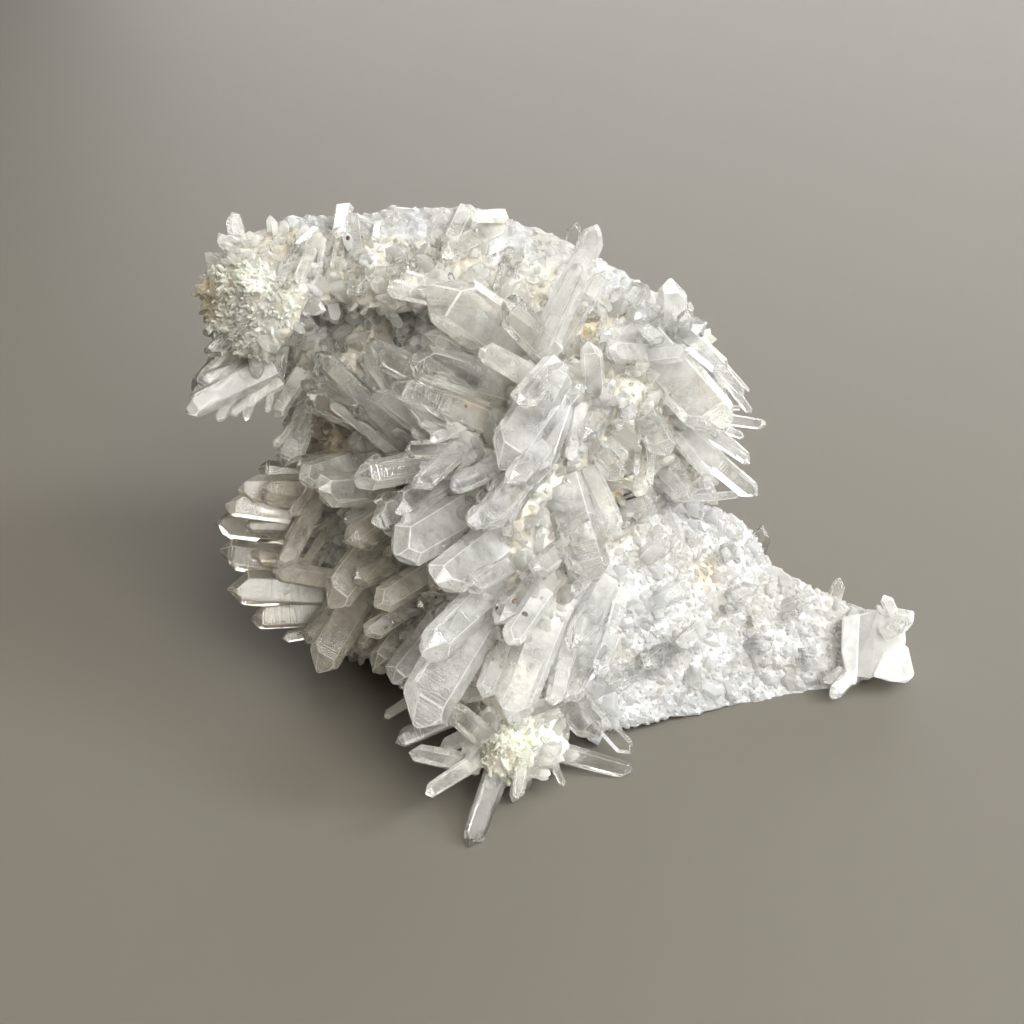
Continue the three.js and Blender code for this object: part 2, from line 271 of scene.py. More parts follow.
def rough_growth(material):
    """Closes the blocks into one skin, then raises lumps and fine grains on it."""
    number = "NodeSocketFloat"
    labels = ("Voxel", "Lump height", "Lumps", "Grain height", "Grains")
    tree = tree_with("rough_growth", {label: number for label in labels})
    by_size = {"resolution_mode": "VOXEL_SIZE"}
    volume = Wire.node(tree, "GeometryNodeMeshToVolume", by_size, {
        "Mesh": given(tree, "Geometry"),
        "Voxel Size": given(tree, "Voxel"),
        "Interior Band Width": given(tree, "Voxel") * 3,
    })
    skin = Wire.node(tree, "GeometryNodeVolumeToMesh", by_size, {
        "Volume": volume, "Voxel Size": given(tree, "Voxel"), "Threshold": 0.2,
    })
    where = Wire.node(tree, "GeometryNodeInputPosition")
    lumps = noise(tree, where, given(tree, "Lumps"), 3.0, 0.6)
    cells = {"Vector": where, "Scale": given(tree, "Grains")}
    grains = Wire.node(tree, "ShaderNodeTexVoronoi", None, cells, "Distance")
    height = (lumps - 0.5) * 2 * given(tree, "Lump height") + (0.5 - grains) * given(tree, "Grain height")
    outwards = Wire.node(tree, "GeometryNodeInputNormal")
    offset = Wire.node(
        tree, "ShaderNodeVectorMath", {"operation": "SCALE"}, {0: outwards, "Scale": height}
    )
    raised = Wire.node(tree, "GeometryNodeSetPosition", None, {"Geometry": skin, "Offset": offset})
    rests = Wire.node(tree, "ShaderNodeVectorMath", {"operation": "MAXIMUM"}, {
        0: Wire.node(tree, "GeometryNodeInputPosition"), 1: (-1.0, -1.0, 0.0),
    })
    rested = Wire.node(tree, "GeometryNodeSetPosition", None, {"Geometry": raised, "Position": rests})
    real = Wire.node(tree, "GeometryNodeRealizeInstances", None, {"Geometry": rested})
    dressed = Wire.node(tree, "GeometryNodeSetMaterial", None, {"Geometry": real, "Material": material})
    Wire.node(tree, "NodeGroupOutput", None, {"Geometry": dressed})
    return tree


def material_tree(name):
    material = bpy.data.materials.new(name)
    material.use_nodes = True
    material.node_tree.nodes.clear()
    return material, material.node_tree


def kept(tree, label):
    """A value that the mesh keeps on its corners or faces."""
    return Wire.node(tree, "ShaderNodeAttribute", {"attribute_name": label}, output="Fac")


def stained(tree, ragged, colour):
    """A colour with the iron stains of the gaps laid over it, frayed by a noise."""
    stain = (kept(tree, "stain") * (ragged * 2.0 - 0.3)).clamped()
    return blend(tree, stain, colour, IRON_STAIN)


def milky_quartz():
    """White quartz, clouded all through, with a wet-looking skin and iron stains in its gaps; greyer on
    the wing and the broken top, where a weathered skin and painted shade darken it.
    """
    material, tree = material_tree("milky_quartz")
    where = Wire.node(tree, "ShaderNodeTexCoord", output="Object")
    clouds = noise(tree, where, 110.0, 4.0, 0.6)
    frosting = noise(tree, where, 1600.0, 2.0, 0.6)
    shaded = clouds.below(0.4, 0.62)
    fresh = blend(tree, shaded, MILK_WHITE, MILK_SHADE)
    weathered = blend(tree, shaded, WEATHERED_SHADED_WHITE, WEATHERED_SHADED_GREY)
    colour = stained(tree, clouds, blend(tree, kept(tree, "weathered"), fresh, weathered))
    bump = Wire.node(tree, "ShaderNodeBump", None, {
        "Strength": 0.4, "Distance": 0.3 * MM, "Height": frosting,
    })
    surface = Wire.node(tree, "ShaderNodeBsdfPrincipled", None, {
        "Base Color": colour,
        "Roughness": frosting * 0.3 + 0.1,
        "IOR": 1.544,
        "Normal": bump,
    })
    Wire.node(tree, "ShaderNodeOutputMaterial", None, {"Surface": surface})
    return material


def corners_of(mesh):
    """The corners of a mesh, in millimetres."""
    corners = np.empty(3 * len(mesh.vertices))
    mesh.vertices.foreach_get("co", corners)
    return corners.reshape(-1, 3) / MM


def region(mesh, anchors):
    """How far each corner of a mesh belongs to a region, from 0 to 1."""
    corners = corners_of(mesh)
    shares = np.zeros(len(corners))
    for place, radius in anchors:
        away = np.linalg.norm(corners - point_at(place), axis=1) / radius
        shares = np.maximum(shares, np.clip((1.2 - away) / 0.4, 0, 1))
    return shares


def mark(mesh, name, shares, domain="POINT"):
    """Keeps a value for each corner or face of a mesh."""
    attribute = mesh.attributes.new(name, "FLOAT", domain)
    attribute.data.foreach_set("value", np.asarray(shares, np.float32))


GROWN = []


def set_piece(name, mesh, material):
    """A finished piece of the cluster, in its place on the specimen."""
    stains = [(place, radius * STAIN_REACH) for place, radius in STAINS]
    mark(mesh, "stain", region(mesh, stains))
    mesh.materials.clear()
    mesh.materials.append(material)
    mesh.name = name
    piece = bpy.data.objects.new(name, mesh)
    bpy.context.scene.collection.objects.link(piece)
    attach(piece, "root")
    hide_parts("quartz_cluster")
    GROWN.append(piece)


def hulls(blocks):
    """Plain blocks, each the hull of its corners."""
    made = bmesh.new()
    for places in blocks.values():
        corners = [made.verts.new(point_at(place) * MM) for place in places]
        hull = bmesh.ops.convex_hull(made, input=corners)
        spare = [v for v in hull["geom_interior"] if isinstance(v, bmesh.types.BMVert)]
        bmesh.ops.delete(made, geom=spare, context="VERTS")
    return made


def plain_blocks():
    """The blocks of the matrix as one mesh."""
    blocks = hulls(BLOCKS)
    mesh = bpy.data.meshes.new("blocks")
    blocks.to_mesh(mesh)
    blocks.free()
    return mesh


MILKY_QUARTZ = milky_quartz()
matrix_mesh = made_by(rough_growth(MILKY_QUARTZ), plain_blocks(), {
    "Voxel": MATRIX_VOXEL,
    "Lump height": LUMP_HEIGHT,
    "Lumps": LUMPS_PER_METRE,
    "Grain height": GRAIN_HEIGHT,
    "Grains": GRAINS_PER_METRE,
})
off_table = corners_of(matrix_mesh)[:, 2] > TABLE_CLEARANCE
on_arm = region(matrix_mesh, ARM)
on_wing = region(matrix_mesh, WING)
on_top = region(matrix_mesh, BROKEN_TOP)
on_star = region(matrix_mesh, STAR)
# The wing and the broken top get the greyer weathered colours, which also paint shade against the strong
# light that falls there.
mark(matrix_mesh, "weathered", np.maximum(on_wing, on_top))
mark(matrix_mesh, "arm", on_arm * off_table)
mark(matrix_mesh, "star", on_star * off_table)
mark(matrix_mesh, "sugar", np.maximum(on_wing, 0.25 * on_top) * (1 - on_arm) * off_table)
mark(matrix_mesh, "crust", (1 - np.maximum.reduce((on_wing, on_top, on_arm, on_star))) * off_table)
set_piece("matrix", matrix_mesh, MILKY_QUARTZ)

# Crest points
# The largest points stand on the crest that runs down the front. Each is one crystal: six prism
# faces with fine growth lines across them, six tip faces, clear at the tip and milky at the root.
CREST_POINTS = (
    ((530, 430, 2), (566, 360, 13), 4.6),
    ((556, 384, 3), (497, 470, 12), 7.0),
    ((562, 398, 3), (535, 484, 11), 5.0),
    ((534, 460, 5), (483, 533, 15), 5.6),
    ((580, 430, -2), (622, 482, 8), 3.4),
    ((562, 478, 2), (594, 583, 12), 7.0),
    ((552, 566, 4), (498, 627, 17), 6.0),
    ((550, 610, 7), (505, 727, 21), 6.6),
    ((484, 606, 7), (412, 727, 25), 8.0),
    ((502, 582, 6), (424, 655, 23), 6.0),
    ((506, 533, 4), (434, 588, 20), 6.6),
    ((464, 510, 1), (391, 553, 17), 7.4),
    ((458, 479, -1), (403, 524, 13), 2.2),
    ((468, 438, 2), (415, 490, 13), 3.6),
    ((508, 462, 4), (449, 489, 15), 3.4),
    ((446, 478, 1), (395, 512, 12), 4.5),
    ((606, 584, 2), (573, 652, 13), 4.8),
    ((596, 634, 2), (562, 704, 14), 4.2),
    ((652, 416, -5), (650, 486, 5), 1.5),
    ((641, 420, -5), (636, 476, 4), 1.3),
)
PRISM_SIDES = 6
TIP_LEAN = math.radians(38.2)
PRISM_TAPER = 0.025
FLATNESS = 0.62
FACE_VARIATION = 0.16
TIP_VARIATION = 0.12
EDGE_BEVEL = 0.02
GOLDEN_TURN = math.pi * (3 - math.sqrt(5))
GOLDEN_SHARE = (math.sqrt(5) - 1) / 2
COMPANIONS = 2
COMPANION_LEAN = math.radians(14)
COMPANION_OFFSET = 0.6
CLEAR = (0.99, 0.99, 0.985, 1.0)
VEIL_WHITE = (0.965, 0.965, 0.95, 1.0)
ABSORPTION = (0.91, 0.905, 0.86, 1.0)
ABSORPTION_PER_METRE = 60.0


def share(number):
    """A share from 0 to 1 that is the same on each run for the same number."""
    return (number * GOLDEN_SHARE) % 1


def quartz_planes(length, width, seed):
    """The faces of a point that stands on the origin along +Z, as normals and distances."""
    normals, distances = [(0, 0, -1)], [0]
    for side in range(PRISM_SIDES):
        turn = side * 2 * math.pi / PRISM_SIDES
        out_x, out_y = math.cos(turn), math.sin(turn)
        vary = 1 + FACE_VARIATION * (2 * share(seed * PRISM_SIDES + side + 1) - 1)
        broad = FLATNESS if side % 3 == 0 else math.cos(math.pi / PRISM_SIDES)
        slope = math.hypot(1, PRISM_TAPER)
        normals.append((out_x / slope, out_y / slope, PRISM_TAPER / slope))
        distances.append(width / 2 * broad * vary + PRISM_TAPER * length / 2)
        set_back = TIP_VARIATION * width * (2 * share(seed * PRISM_SIDES + 3 * side + 2) - 1)
        normals.append((out_x * math.cos(TIP_LEAN), out_y * math.cos(TIP_LEAN), math.sin(TIP_LEAN)))
        distances.append(math.sin(TIP_LEAN) * length - set_back)
    return np.array(normals), np.array(distances)


def solid_behind(normals, distances):
    """The corners and the faces of the solid that lies behind every plane."""
    trios = np.array(list(itertools.combinations(range(len(normals)), 3)))
    meet = np.abs(np.linalg.det(normals[trios])) > 1e-6
    trios = trios[meet]
    corners = np.linalg.solve(normals[trios], distances[trios][..., None])[..., 0]
    corners = corners[(corners @ normals.T < distances + 1e-5).all(1)]
    corners = np.unique(corners.round(5), axis=0)
    faces = []
    for normal, distance in zip(normals, distances):
        on = np.flatnonzero(np.abs(corners @ normal - distance) < 1e-4)
        if len(on) < 3:
            continue
        spokes = corners[on] - corners[on].mean(0)
        first = spokes[0] / np.linalg.norm(spokes[0])
        second = np.cross(normal, first)
        faces.append(on[np.argsort(np.arctan2(spokes @ second, spokes @ first))].tolist())
    return corners, faces


def quartz_point(length, width, seed, bevel=EDGE_BEVEL, table=None):
    """One point on the origin along +Z, in millimetres: corners, faces, and which are worn edges."""
    normals, distances = quartz_planes(length, width, seed)
    if table:
        normals = np.vstack((normals, table[0]))
        distances = np.append(distances, table[1])
    corners, faces = solid_behind(normals, distances)
    body = bmesh.new()
    made = [body.verts.new(corner) for corner in corners]
    for face in faces:
        body.faces.new([made[i] for i in face])
    edges = set()
    if bevel:
        edges.update(bmesh.ops.bevel(
            body, geom=body.edges[:], offset=bevel * width, segments=1, profile=0.5,
            affect="EDGES", clamp_overlap=True,
        )["faces"])
    body.verts.index_update()
    corners = np.array([v.co for v in body.verts])
    worn = [face in edges for face in body.faces]
    faces = [[v.index for v in face.verts] for face in body.faces]
    body.free()
    return corners, faces, worn


def axes_along(axis, seen_from):
    """The turn that lays +Z along an axis with the broad face to the side it is seen from."""
    face = seen_from - axis * (seen_from @ axis)
    face /= np.linalg.norm(face)
    return np.array((face, np.cross(axis, face), axis)).T


def grown(points, companions=COMPANIONS):
    """The mesh of a group of points, each with smaller companions that lean out from its root."""
    rows = []
    for index, (root, tip, width) in enumerate(points):
        root, tip = point_at(root), point_at(tip)
        axis = tip - root
        length = np.linalg.norm(axis)
        axis /= length
        turn = axes_along(axis, TOWARDS_EYE)
        rows.append((root, turn, length, width, index))
        for i in range(companions):
            number = index * 7 + i
            round_axis = GOLDEN_TURN * number
            aside = turn[:, 0] * math.cos(round_axis) + turn[:, 1] * math.sin(round_axis)
            lean = COMPANION_LEAN * (0.2 + share(number))
            leaning = axis * math.cos(lean) + aside * math.sin(lean)
            rows.append((
                root + aside * width * COMPANION_OFFSET,
                axes_along(leaning, TOWARDS_EYE),
                length * (0.5 + 0.4 * share(3 * number + 1)),
                width * (0.4 + 0.4 * share(2 * number + 1)),
                number + 50,
            ))
    return joined(rows)


def joined(rows):
    """One mesh of many points, with how far along its crystal and which crystal each corner is."""
    corners, faces, worn, along, rise, own = [], [], [], [], [], []
    first = 0
    for root, turn, length, width, seed in rows:
        table = (-turn[2], root[2])
        local, local_faces, local_worn = quartz_point(length, width, seed, table=table)
        if not local_faces:
            continue
        worn += local_worn
        corners.append(local @ turn.T + root)
        faces += [[first + i for i in face] for face in local_faces]
        along.append(local[:, 2] / length)
        rise.append(local[:, 2])
        own.append(np.full(len(local), share(5 * seed + 3)))
        first += len(local)
    mesh = bpy.data.meshes.new("points")
    mesh.from_pydata(np.concatenate(corners) * MM, [], faces)
    mark(mesh, "worn", worn, "FACE")
    for name, values in (("along", along), ("rise", rise), ("own", own)):
        mark(mesh, name, np.concatenate(values))
    return mesh


def clear_quartz(name, milk, frost, tint=CLEAR, veil=VEIL_WHITE):
    """Clear quartz with milky veils and frost that thicken towards the root, and growth lines."""
    material, tree = material_tree(name)
    where = Wire.node(tree, "ShaderNodeTexCoord", output="Object")
    along, rise, own, worn = (kept(tree, label) for label in ("along", "rise", "own", "worn"))
    veils = noise(tree, where, 300.0, 3.0, 0.65)
    rootward = along.below(0.1, 0.6)
    veiled = milk + rootward * 0.35 + worn * 0.22 + (veils - 0.5) * 0.7 + (own - 0.5) * 0.25
    lines = Wire.node(tree, "ShaderNodeTexNoise", {"noise_dimensions": "1D"}, {
        "W": rise * 3.0 + own * 90, "Scale": 1.0, "Detail": 2.0,
    })
    bump = Wire.node(tree, "ShaderNodeBump", None, {
        "Strength": 0.25, "Distance": 0.15 * MM, "Height": lines + veils * 0.8,
    })
    roughness = veils * 0.04 + 0.005
    clear = Wire.node(tree, "ShaderNodeBsdfPrincipled", None, {
        "Base Color": stained(tree, veils, tint), "Roughness": roughness + rootward * frost,
        "IOR": 1.544, "Transmission Weight": 1.0, "Normal": bump,
    })
    milky = Wire.node(tree, "ShaderNodeBsdfPrincipled", None, {
        "Base Color": stained(tree, veils, veil), "Roughness": roughness + 0.05, "IOR": 1.544,
        "Normal": bump,
    })
    glow = Wire.node(tree, "ShaderNodeBsdfTranslucent", None, {"Color": veil, "Normal": bump})
    milky = Wire.node(tree, "ShaderNodeMixShader", None, {0: 0.6, 1: milky, 2: glow})
    surface = Wire.node(tree, "ShaderNodeMixShader", None, {0: veiled.clamped(), 1: clear, 2: milky})
    volume = Wire.node(tree, "ShaderNodeVolumeAbsorption", None, {
        "Color": ABSORPTION, "Density": ABSORPTION_PER_METRE,
    })
    Wire.node(tree, "ShaderNodeOutputMaterial", None, {"Surface": surface, "Volume": volume})
    return material


VEILED_QUARTZ = clear_quartz("veiled_quartz", 0.20, 0.06)
set_piece("crest_points", grown(CREST_POINTS), VEILED_QUARTZ)

# Shoulder points
# Short broad points and needles that fan out over the right shoulder, and one that stands up alone.
SHOULDER_POINTS = (
    ((540, 352, -3), (600, 222, 8), 4.3),
    ((672, 342, -9), (672, 276, -4), 4.5),
    ((644, 356, -8), (708, 320, -4), 4.8),
    ((676, 318, -14), (745, 397, -7), 2.2),
    ((706, 352, -13), (751, 414, -5), 1.6),
    ((694, 414, -12), (766, 425, -5), 2.0),
    ((688, 408, -10), (751, 463, -2), 2.2),
    ((680, 432, -8), (759, 498, -1), 3.6),
    ((648, 344, -8), (728, 434, 2), 8.0),
    ((672, 322, -14), (602, 336, 2), 3.0),
    ((652, 354, -8), (606, 350, 4), 4.0),
    ((638, 358, -7), (690, 352, 2), 3.0),
    ((594, 410, -3), (590, 342, 6), 3.8),
    ((604, 314, -9), (578, 292, 1), 1.8),
    ((624, 306, -12), (642, 282, -4), 3.0),
    ((634, 396, -6), (668, 456, 5), 4.6),
    ((614, 390, -5), (584, 442, 8), 4.2),
    ((656, 466, -7), (692, 502, 2), 3.6),
    ((612, 514, -6), (652, 500, 4), 2.4),
    ((676, 500, -10), (741, 494, -4), 1.5),
)
set_piece("shoulder_points", grown(SHOULDER_POINTS), VEILED_QUARTZ)

# Left fan
# Long blades that lie over the hollow under the top slab and point to the left.
LEFT_FAN = (
    ((464, 302, -4), (384, 287, 7), 3.4),
    ((528, 356, -6), (425, 282, 6), 9.0),
    ((412, 447, -5), (316, 352, 8), 4.0),
    ((366, 421, -9), (303, 396, 5), 4.3),
    ((520, 390, -2), (404, 356, 10), 6.5),
    ((484, 422, 2), (392, 382, 9), 4.5),
    ((448, 390, -4), (367, 346, 5), 4.4),
    ((461, 460, 1), (408, 399, 8), 2.8),
    ((446, 444, -1), (373, 390, 7), 3.4),
    ((446, 460, 1), (353, 480, 11), 5.0),
    ((386, 488, -7), (315, 492, 8), 5.6),
    ((352, 462, -11), (298, 478, 2), 4.6),
    ((434, 500, -1), (372, 521, 9), 5.0),
    ((400, 296, -10), (404, 348, -3), 4.0),
    ((336, 326, -14), (318, 378, -3), 3.0),
)
# A warm, slightly darker tint on the milky veils: painted warm shade for the shaded left side. The arm,
# foot and back points wear it too.
WARM_SHADE_VEIL = (0.95, 0.935, 0.885, 1.0)
CLEAR_QUARTZ = clear_quartz("clear_quartz", 0.12, 0.05, veil=WARM_SHADE_VEIL)
set_piece("left_fan", grown(LEFT_FAN, 2), CLEAR_QUARTZ)

# Left clump
# Points that stand out of the left flank, the far ones nearly level. They wear a darker, brownish quartz
# that paints the shade of this flank.
LEFT_CLUMP = (
    ((316, 490, -15), (234, 490, -10), 5.2),
    ((316, 514, -14), (223, 504, -10), 4.0),
    ((320, 534, -17), (212, 524, -16), 5.4),
    ((316, 568, -15), (217, 552, -12), 5.4),
    ((332, 590, -12), (224, 586, -7), 6.0),
    ((332, 612, -12), (250, 618, -9), 4.4),
    ((324, 484, -13), (281, 571, -1), 3.4),
    ((332, 524, -15), (291, 583, -3), 1.7),
    ((364, 590, -7), (315, 673, 3), 5.6),
    ((418, 610, -4), (374, 672, 5), 4.6),
    ((430, 594, -2), (364, 637, 8), 3.6),
    ((440, 564, -2), (372, 606, 10), 4.6),
    ((394, 522, -6), (328, 606, 5), 6.0),
    ((410, 514, -3), (345, 545, 7), 5.0),
    ((408, 556, -4), (350, 581, 8), 4.5),
    ((448, 676, 1), (384, 717, 11), 1.8),
    ((458, 660, 4), (401, 691, 15), 4.0),
)
# Brownish grey tints for the clear and the milky parts: painted shade of the left flank, not a colour of
# the quartz itself.
SHADE_TINT = (0.92, 0.89, 0.83, 1.0)
SHADE_VEIL = (0.80, 0.77, 0.70, 1.0)
SHADED_QUARTZ = clear_quartz("shaded_quartz", 0.24, 0.22, SHADE_TINT, SHADE_VEIL)
set_piece("left_clump", grown(LEFT_CLUMP, 2), SHADED_QUARTZ)

# Arm points
# Points that hang below the arm, and milky stubs along the front of the top slab.
ARM_POINTS = (
    ((305, 234, -4), (279, 284, 6), 1.9),
    ((317, 236, -4), (297, 283, 7), 1.9),
    ((331, 234, -9), (309, 279, 4), 1.9),
    ((350, 224, -17), (360, 296, 1), 4.4),
    ((386, 228, -17), (406, 273, -3), 2.9),
    ((272, 368, -4), (184, 411, 3), 4.2),
    ((250, 335, -6), (194, 398, -1), 5.0),
    ((256, 356, -7), (217, 423, 2), 2.2),
    ((268, 352, -7), (245, 421, 1), 1.6),
    ((324, 394, -16), (274, 446, -5), 1.8),
    ((316, 380, -13), (285, 470, -9), 5.0),
    ((465, 212, -20), (447, 247, -7), 3.8),
    ((500, 228, -18), (442, 256, -6), 4.0),
    ((512, 248, -16), (494, 291, -2), 1.7),
    ((436, 240, -15), (410, 276, -2), 1.3),
    ((254, 318, 1), (229, 338, 6), 0.9),
    ((464, 312, -8), (449, 272, 2), 1.3),
    ((282, 344, -6), (267, 414, 0), 1.4),
)
set_piece("arm_points", grown(ARM_POINTS, 2), CLEAR_QUARTZ)

# Foot star
# A star of points round the front foot; the longest one leans down to the table.
FOOT_POINTS = (
    ((478, 765, 16), (407, 751, 22), 2.8),
    ((486, 755, 16), (425, 794, 26), 2.3),
    ((500, 764, 16), (470, 849, 25), 3.6),
    ((524, 748, 17), (518, 800, 23), 1.9),
    ((562, 678, 4), (632, 756, 11), 3.2),
    ((546, 748, 10), (633, 772, 11), 2.9),
    ((507, 756, 15), (451, 707, 24), 3.6),
    ((474, 706, 9), (393, 743, 16), 3.0),
    ((552, 688, 5), (600, 738, 13), 4.4),
    ((550, 755, 13), (564, 786, 16), 1.2),
)
set_piece("foot_points", grown(FOOT_POINTS, 0), CLEAR_QUARTZ)

# Wing points
# Small points on the block at the end of the wing, and a few that lie on the wing's slope.
WING_POINTS = (
    ((886, 628, -10), (917, 611, -7), 4.2),
    ((897, 624, -9), (884, 594, -7), 2.0),
    ((850, 676, -7), (831, 698, -4), 2.6),
    ((690, 634, -6), (642, 669, 4), 4.0),
    ((650, 658, -2), (604, 681, 7), 2.4),
    ((700, 566, -14), (737, 546, -6), 3.0),
    ((716, 606, -10), (758, 584, -4), 3.0),
    ((736, 652, -9), (776, 640, -3), 3.0),
    ((676, 648, -6), (700, 692, 1), 3.0),
    ((776, 612, -12), (816, 594, -8), 2.8),
    ((786, 662, -10), (826, 664, -5), 2.6),
    ((640, 566, -4), (668, 534, 4), 3.0),
    ((648, 606, -3), (690, 584, 4), 3.2),
)
set_piece("wing_points", grown(WING_POINTS, 1), VEILED_QUARTZ)

# Wing block
# One stout crystal that ends the wing, cloudy and broken off blunt, with fine growth lines across it
# and worn edges. Each of its parts is the hull of its corners.
WING_BLOCK = {
    "slab": (
        (842, 617, -8), (860, 613, -8), (857, 684, -6), (848, 688, -6), (841, 652, -6), (842, 620, -18),
        (856, 650, -18),
    ),
    "body": (
        (854, 616, -11), (878, 609, -9), (904, 609, -9), (906, 640, -7), (902, 668, -7), (870, 679, -6),
        (852, 676, -7), (858, 618, -18), (902, 614, -17), (900, 652, -17), (858, 650, -18),
    ),
    "foot": (
        (884, 650, -7), (908, 646, -8), (915, 676, -7), (907, 684, -7), (890, 682, -5), (872, 677, -5),
        (900, 640, -16), (906, 655, -16), (884, 655, -16),
    ),
}
BLOCK_BEVEL = 0.3 * MM
BLOCK_SHARP = math.radians(30)
BLOCK_ALONG = 0.75
BLOCK_OWN = 0.5


def broken_block(parts):
    """The mesh of a broken crystal, with the same values on its corners and faces as the points."""
    block = hulls(parts)
    sharp = [edge for edge in block.edges if edge.calc_face_angle(0) > BLOCK_SHARP]
    edges = bmesh.ops.bevel(
        block, geom=sharp, offset=BLOCK_BEVEL, segments=1, profile=0.5, affect="EDGES", clamp_overlap=True
    )["faces"]
    worn = [face in edges for face in block.faces]
    mesh = bpy.data.meshes.new("block")
    block.to_mesh(mesh)
    block.free()
    mark(mesh, "worn", worn, "FACE")
    mark(mesh, "along", np.full(len(mesh.vertices), BLOCK_ALONG))
    mark(mesh, "rise", corners_of(mesh)[:, 0])
    mark(mesh, "own", np.full(len(mesh.vertices), BLOCK_OWN))
    return mesh


set_piece("wing_block", broken_block(WING_BLOCK), clear_quartz("block_quartz", 0.55, 0.1))

# Back sprays
# Sprays of stout points on the sides that face away: root, middle tip, width, how many points.
BACK_SPRAYS = (
    ((560, 310, -30), (576, 258, -42), 4.4, 3),
    ((420, 300, -30), (402, 246, -42), 4.4, 3),
    ((640, 390, -30), (708, 360, -42), 4.2, 3),
    ((640, 480, -30), (716, 486, -38), 4.0, 3),
    ((560, 400, -36), (580, 366, -54), 4.6, 4),
    ((430, 390, -34), (404, 350, -52), 4.6, 4),
    ((340, 400, -26), (286, 392, -36), 4.0, 3),
    ((500, 490, -36), (498, 468, -56), 4.6, 4),
    ((610, 550, -36), (656, 530, -50), 4.2, 3),
    ((390, 550, -32), (338, 530, -46), 4.2, 3),
    ((740, 600, -18), (766, 566, -30), 3.8, 3),
    ((820, 640, -16), (842, 612, -26), 3.4, 3),
    ((250, 290, -8), (222, 262, -19), 3.6, 3),
)
SPRAY_FAN = math.radians(62)


def turned(vector, axis, angle):
    return np.array(Matrix.Rotation(angle, 3, Vector(axis)) @ Vector(vector))


def sprayed(sprays):
    """The mesh of sprays, whose points fan out from one root evenly round its middle line."""
    rows = []
    for index, (root, tip, width, count) in enumerate(sprays):
        root = point_at(root)
        middle = point_at(tip) - root
        length = np.linalg.norm(middle)
        middle /= length
        aside = np.cross(middle, ACROSS)
        aside /= np.linalg.norm(aside)
        for i in range(count):
            lean = SPRAY_FAN * math.sqrt(i / count)
            axis = turned(turned(middle, aside, lean), middle, i * GOLDEN_TURN)
            rows.append((
                root, axes_along(axis, aside), length * (1 - 0.3 * share(i)),
                width * (1 - 0.3 * share(2 * i)), 10 * index + i,
            ))
    return joined(rows)


set_piece("back_sprays", sprayed(BACK_SPRAYS), CLEAR_QUARTZ)

# Crust
# The crust of small points that covers the matrix between the large ones.
CRUST_SPACING = 1.7 * MM
CRUST_LENGTH = 4.0
CRUST_WIDTH = 1.8
CRUST_TILT = 0.7


def druse_growth(material):
    """Small points set over the marked part of a surface, each leaning its own way."""
    tree = tree_with("druse_growth", {
        "Grain": "NodeSocketObject", "Where": "NodeSocketString", "Spacing": "NodeSocketFloat",
        "Tilt": "NodeSocketFloat", "Smallest": "NodeSocketFloat", "Largest": "NodeSocketFloat",
        "Seed": "NodeSocketInt",
    })
    marked = Wire.node(
        tree, "GeometryNodeInputNamedAttribute", {"data_type": "FLOAT"}, {"Name": given(tree, "Where")},
        "Attribute",
    )
    sown = Wire.node(tree, "GeometryNodeDistributePointsOnFaces", {"distribute_method": "POISSON"}, {
        "Mesh": given(tree, "Geometry"), "Distance Min": given(tree, "Spacing"), "Density Max": 4e6,
        "Density Factor": marked, "Seed": given(tree, "Seed"),
    }, "Points")
    lean = Wire.node(tree, "FunctionNodeRandomValue", {"data_type": "FLOAT_VECTOR"}, {
        0: (-1.0, -1.0, -9.0), 1: (1.0, 1.0, 9.0), "Seed": given(tree, "Seed") + 1,
    })
    lean = Wire.node(tree, "ShaderNodeVectorMath", {"operation": "SCALE"}, {
        0: lean, "Scale": given(tree, "Tilt"),
    })
    turn = Wire.node(tree, "FunctionNodeRotateRotation", {"rotation_space": "LOCAL"}, {
        "Rotation": sown.other("Rotation"), "Rotate By": lean,
    })
    size = Wire.node(tree, "FunctionNodeRandomValue", {"data_type": "FLOAT"}, {
        2: 0.0, 3: 1.0, "Seed": given(tree, "Seed") + 2,
    }, 1)
    smallest, largest = given(tree, "Smallest"), given(tree, "Largest")
    size = smallest + (largest - smallest) * size * size
    grain = Wire.node(tree, "GeometryNodeObjectInfo", None, {"Object": given(tree, "Grain")}, "Geometry")
    placed = Wire.node(tree, "GeometryNodeInstanceOnPoints", None, {
        "Points": sown, "Instance": grain, "Rotation": turn, "Scale": size,
    })
    own = Wire.node(tree, "FunctionNodeRandomValue", {"data_type": "FLOAT"}, {
        2: 0.0, 3: 1.0, "Seed": given(tree, "Seed") + 3,
    }, 1)
    named = Wire.node(
        tree, "GeometryNodeStoreNamedAttribute", {"data_type": "FLOAT", "domain": "INSTANCE"},
        {"Geometry": placed, "Name": "own", "Value": own},
    )
    real = Wire.node(tree, "GeometryNodeRealizeInstances", None, {"Geometry": named})
    dressed = Wire.node(tree, "GeometryNodeSetMaterial", None, {"Geometry": real, "Material": material})
    Wire.node(tree, "NodeGroupOutput", None, {"Geometry": dressed})
    return tree


def druse_quartz(name, white, tint, through, glow_share=0.4):
    """Quartz in grains, half clear and half milky."""
    material, tree = material_tree(name)
    where = Wire.node(tree, "ShaderNodeTexCoord", output="Object")
    along, own = (kept(tree, label) for label in ("along", "own"))
    clouds = noise(tree, where, 130.0, 2.0)
    tinted = blend(tree, (clouds.below(0.42, 0.58) * 0.8 + own * 0.2).clamped(), white, tint)
    tinted = stained(tree, clouds, tinted)
    surface = Wire.node(tree, "ShaderNodeBsdfPrincipled", None, {
        "Base Color": tinted, "Roughness": (1 - along) * 0.3 + own * 0.15 + 0.02,
        "IOR": 1.544, "Transmission Weight": through,
    })
    glow = Wire.node(tree, "ShaderNodeBsdfTranslucent", None, {"Color": white})
    surface = Wire.node(tree, "ShaderNodeMixShader", None, {0: glow_share, 1: surface, 2: glow})
    Wire.node(tree, "ShaderNodeOutputMaterial", None, {"Surface": surface})
    return material


